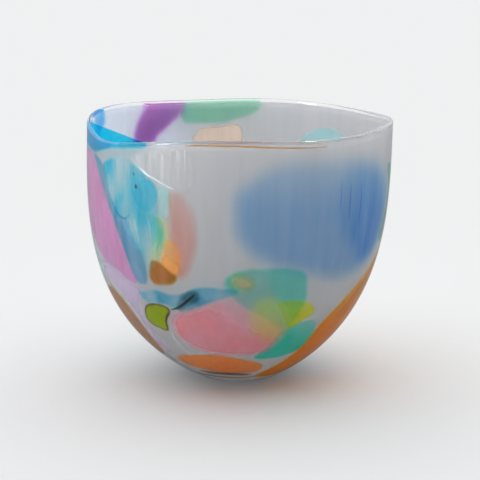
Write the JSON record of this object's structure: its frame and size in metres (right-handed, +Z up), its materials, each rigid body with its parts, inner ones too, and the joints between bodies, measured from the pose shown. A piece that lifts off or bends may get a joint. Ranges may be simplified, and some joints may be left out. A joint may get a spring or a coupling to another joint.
{
  "type": "art glass bowl",
  "caption": "Free-blown art glass bowl with a milky layer and coloured glass shards cased in clear glass, standing on a ground flat.",
  "frame": {"origin": "centre of the ground flat that the bowl stands on", "axes": "+Z up through the open mouth, -Y towards the front of the bowl, +X to its right as seen from the front"},
  "size_m": [0.1988, 0.2002, 0.172],
  "materials": {
    "outer_casing": "clear, fire-polished",
    "second_coat": "clear",
    "first_coat": "clear",
    "opal_layer": "milky white, translucent",
    "inner_gather": "clear, fire-polished",
    "lip_bead": "clear, fire-polished",
    "shard_aqua_lip": "coloured shard in clear glass",
    "shard_pink_left": "coloured shard in clear glass",
    "shard_turquoise": "coloured shard in clear glass",
    "shard_orange_wedge": "coloured shard in clear glass",
    "shard_cobalt_oval": "coloured shard in clear glass",
    "shard_seafoam": "coloured shard in clear glass",
    "shard_steel_streak": "coloured shard in clear glass",
    "shard_olive": "coloured shard in clear glass",
    "shard_lime": "coloured shard in clear glass",
    "shard_rose_low": "coloured shard in clear glass",
    "shard_amber_crescent": "coloured shard in clear glass",
    "shard_purple": "coloured shard in clear glass",
    "shard_peach": "coloured shard in clear glass",
    "shard_amber_back": "coloured shard in clear glass",
    "shard_teal_back": "coloured shard in clear glass",
    "shard_steel_band": "coloured shard in clear glass",
    "shard_sky_chip": "coloured shard in clear glass",
    "shard_salmon": "coloured shard in clear glass",
    "shard_umber_chip": "coloured shard in clear glass",
    "shard_sky_oval": "coloured shard in clear glass",
    "shard_charcoal_knot": "coloured shard in clear glass",
    "shard_teal": "coloured shard in clear glass",
    "shard_green_low": "coloured shard in clear glass",
    "shard_lilac": "coloured shard in clear glass",
    "shard_rust": "coloured shard in clear glass",
    "shard_orange_foot": "coloured shard in clear glass",
    "shard_yellow_band": "coloured shard in clear glass",
    "shard_mint": "coloured shard in clear glass",
    "shard_pale_blue": "coloured shard in clear glass",
    "shard_ice": "coloured shard in clear glass",
    "shard_blush_back": "coloured shard in clear glass",
    "shard_coral_back": "coloured shard in clear glass",
    "shard_sky_sliver": "coloured shard in clear glass",
    "shard_citron": "coloured shard in clear glass",
    "shard_powder_blue": "coloured shard in clear glass",
    "shard_sand_chip": "coloured shard in clear glass",
    "shard_violet_back": "coloured shard in clear glass",
    "shard_orange_back": "coloured shard in clear glass"
  },
  "bodies": {
    "root": {"outer_casing": "outer_casing", "second_coat": "second_coat", "first_coat": "first_coat", "opal_layer": "opal_layer", "inner_gather": "inner_gather", "lip_bead": "lip_bead", "shard_aqua_lip": "shard_aqua_lip", "shard_pink_left": "shard_pink_left", "shard_turquoise": "shard_turquoise", "shard_orange_wedge": "shard_orange_wedge", "shard_cobalt_oval": "shard_cobalt_oval", "shard_seafoam": "shard_seafoam", "shard_steel_streak": "shard_steel_streak", "shard_olive": "shard_olive", "shard_lime": "shard_lime", "shard_rose_low": "shard_rose_low", "shard_amber_crescent": "shard_amber_crescent", "shard_purple": "shard_purple", "shard_peach": "shard_peach", "shard_amber_back": "shard_amber_back", "shard_teal_back": "shard_teal_back", "shard_steel_band": "shard_steel_band", "shard_sky_chip": "shard_sky_chip", "shard_salmon": "shard_salmon", "shard_umber_chip": "shard_umber_chip", "shard_sky_oval": "shard_sky_oval", "shard_charcoal_knot": "shard_charcoal_knot", "shard_teal": "shard_teal", "shard_green_low": "shard_green_low", "shard_lilac": "shard_lilac", "shard_rust": "shard_rust", "shard_orange_foot": "shard_orange_foot", "shard_yellow_band": "shard_yellow_band", "shard_mint": "shard_mint", "shard_pale_blue": "shard_pale_blue", "shard_ice": "shard_ice", "shard_blush_back": "shard_blush_back", "shard_coral_back": "shard_coral_back", "shard_sky_sliver": "shard_sky_sliver", "shard_citron": "shard_citron", "shard_powder_blue": "shard_powder_blue", "shard_sand_chip": "shard_sand_chip", "shard_violet_back": "shard_violet_back", "shard_orange_back": "shard_orange_back"}
  },
  "joints": []
}
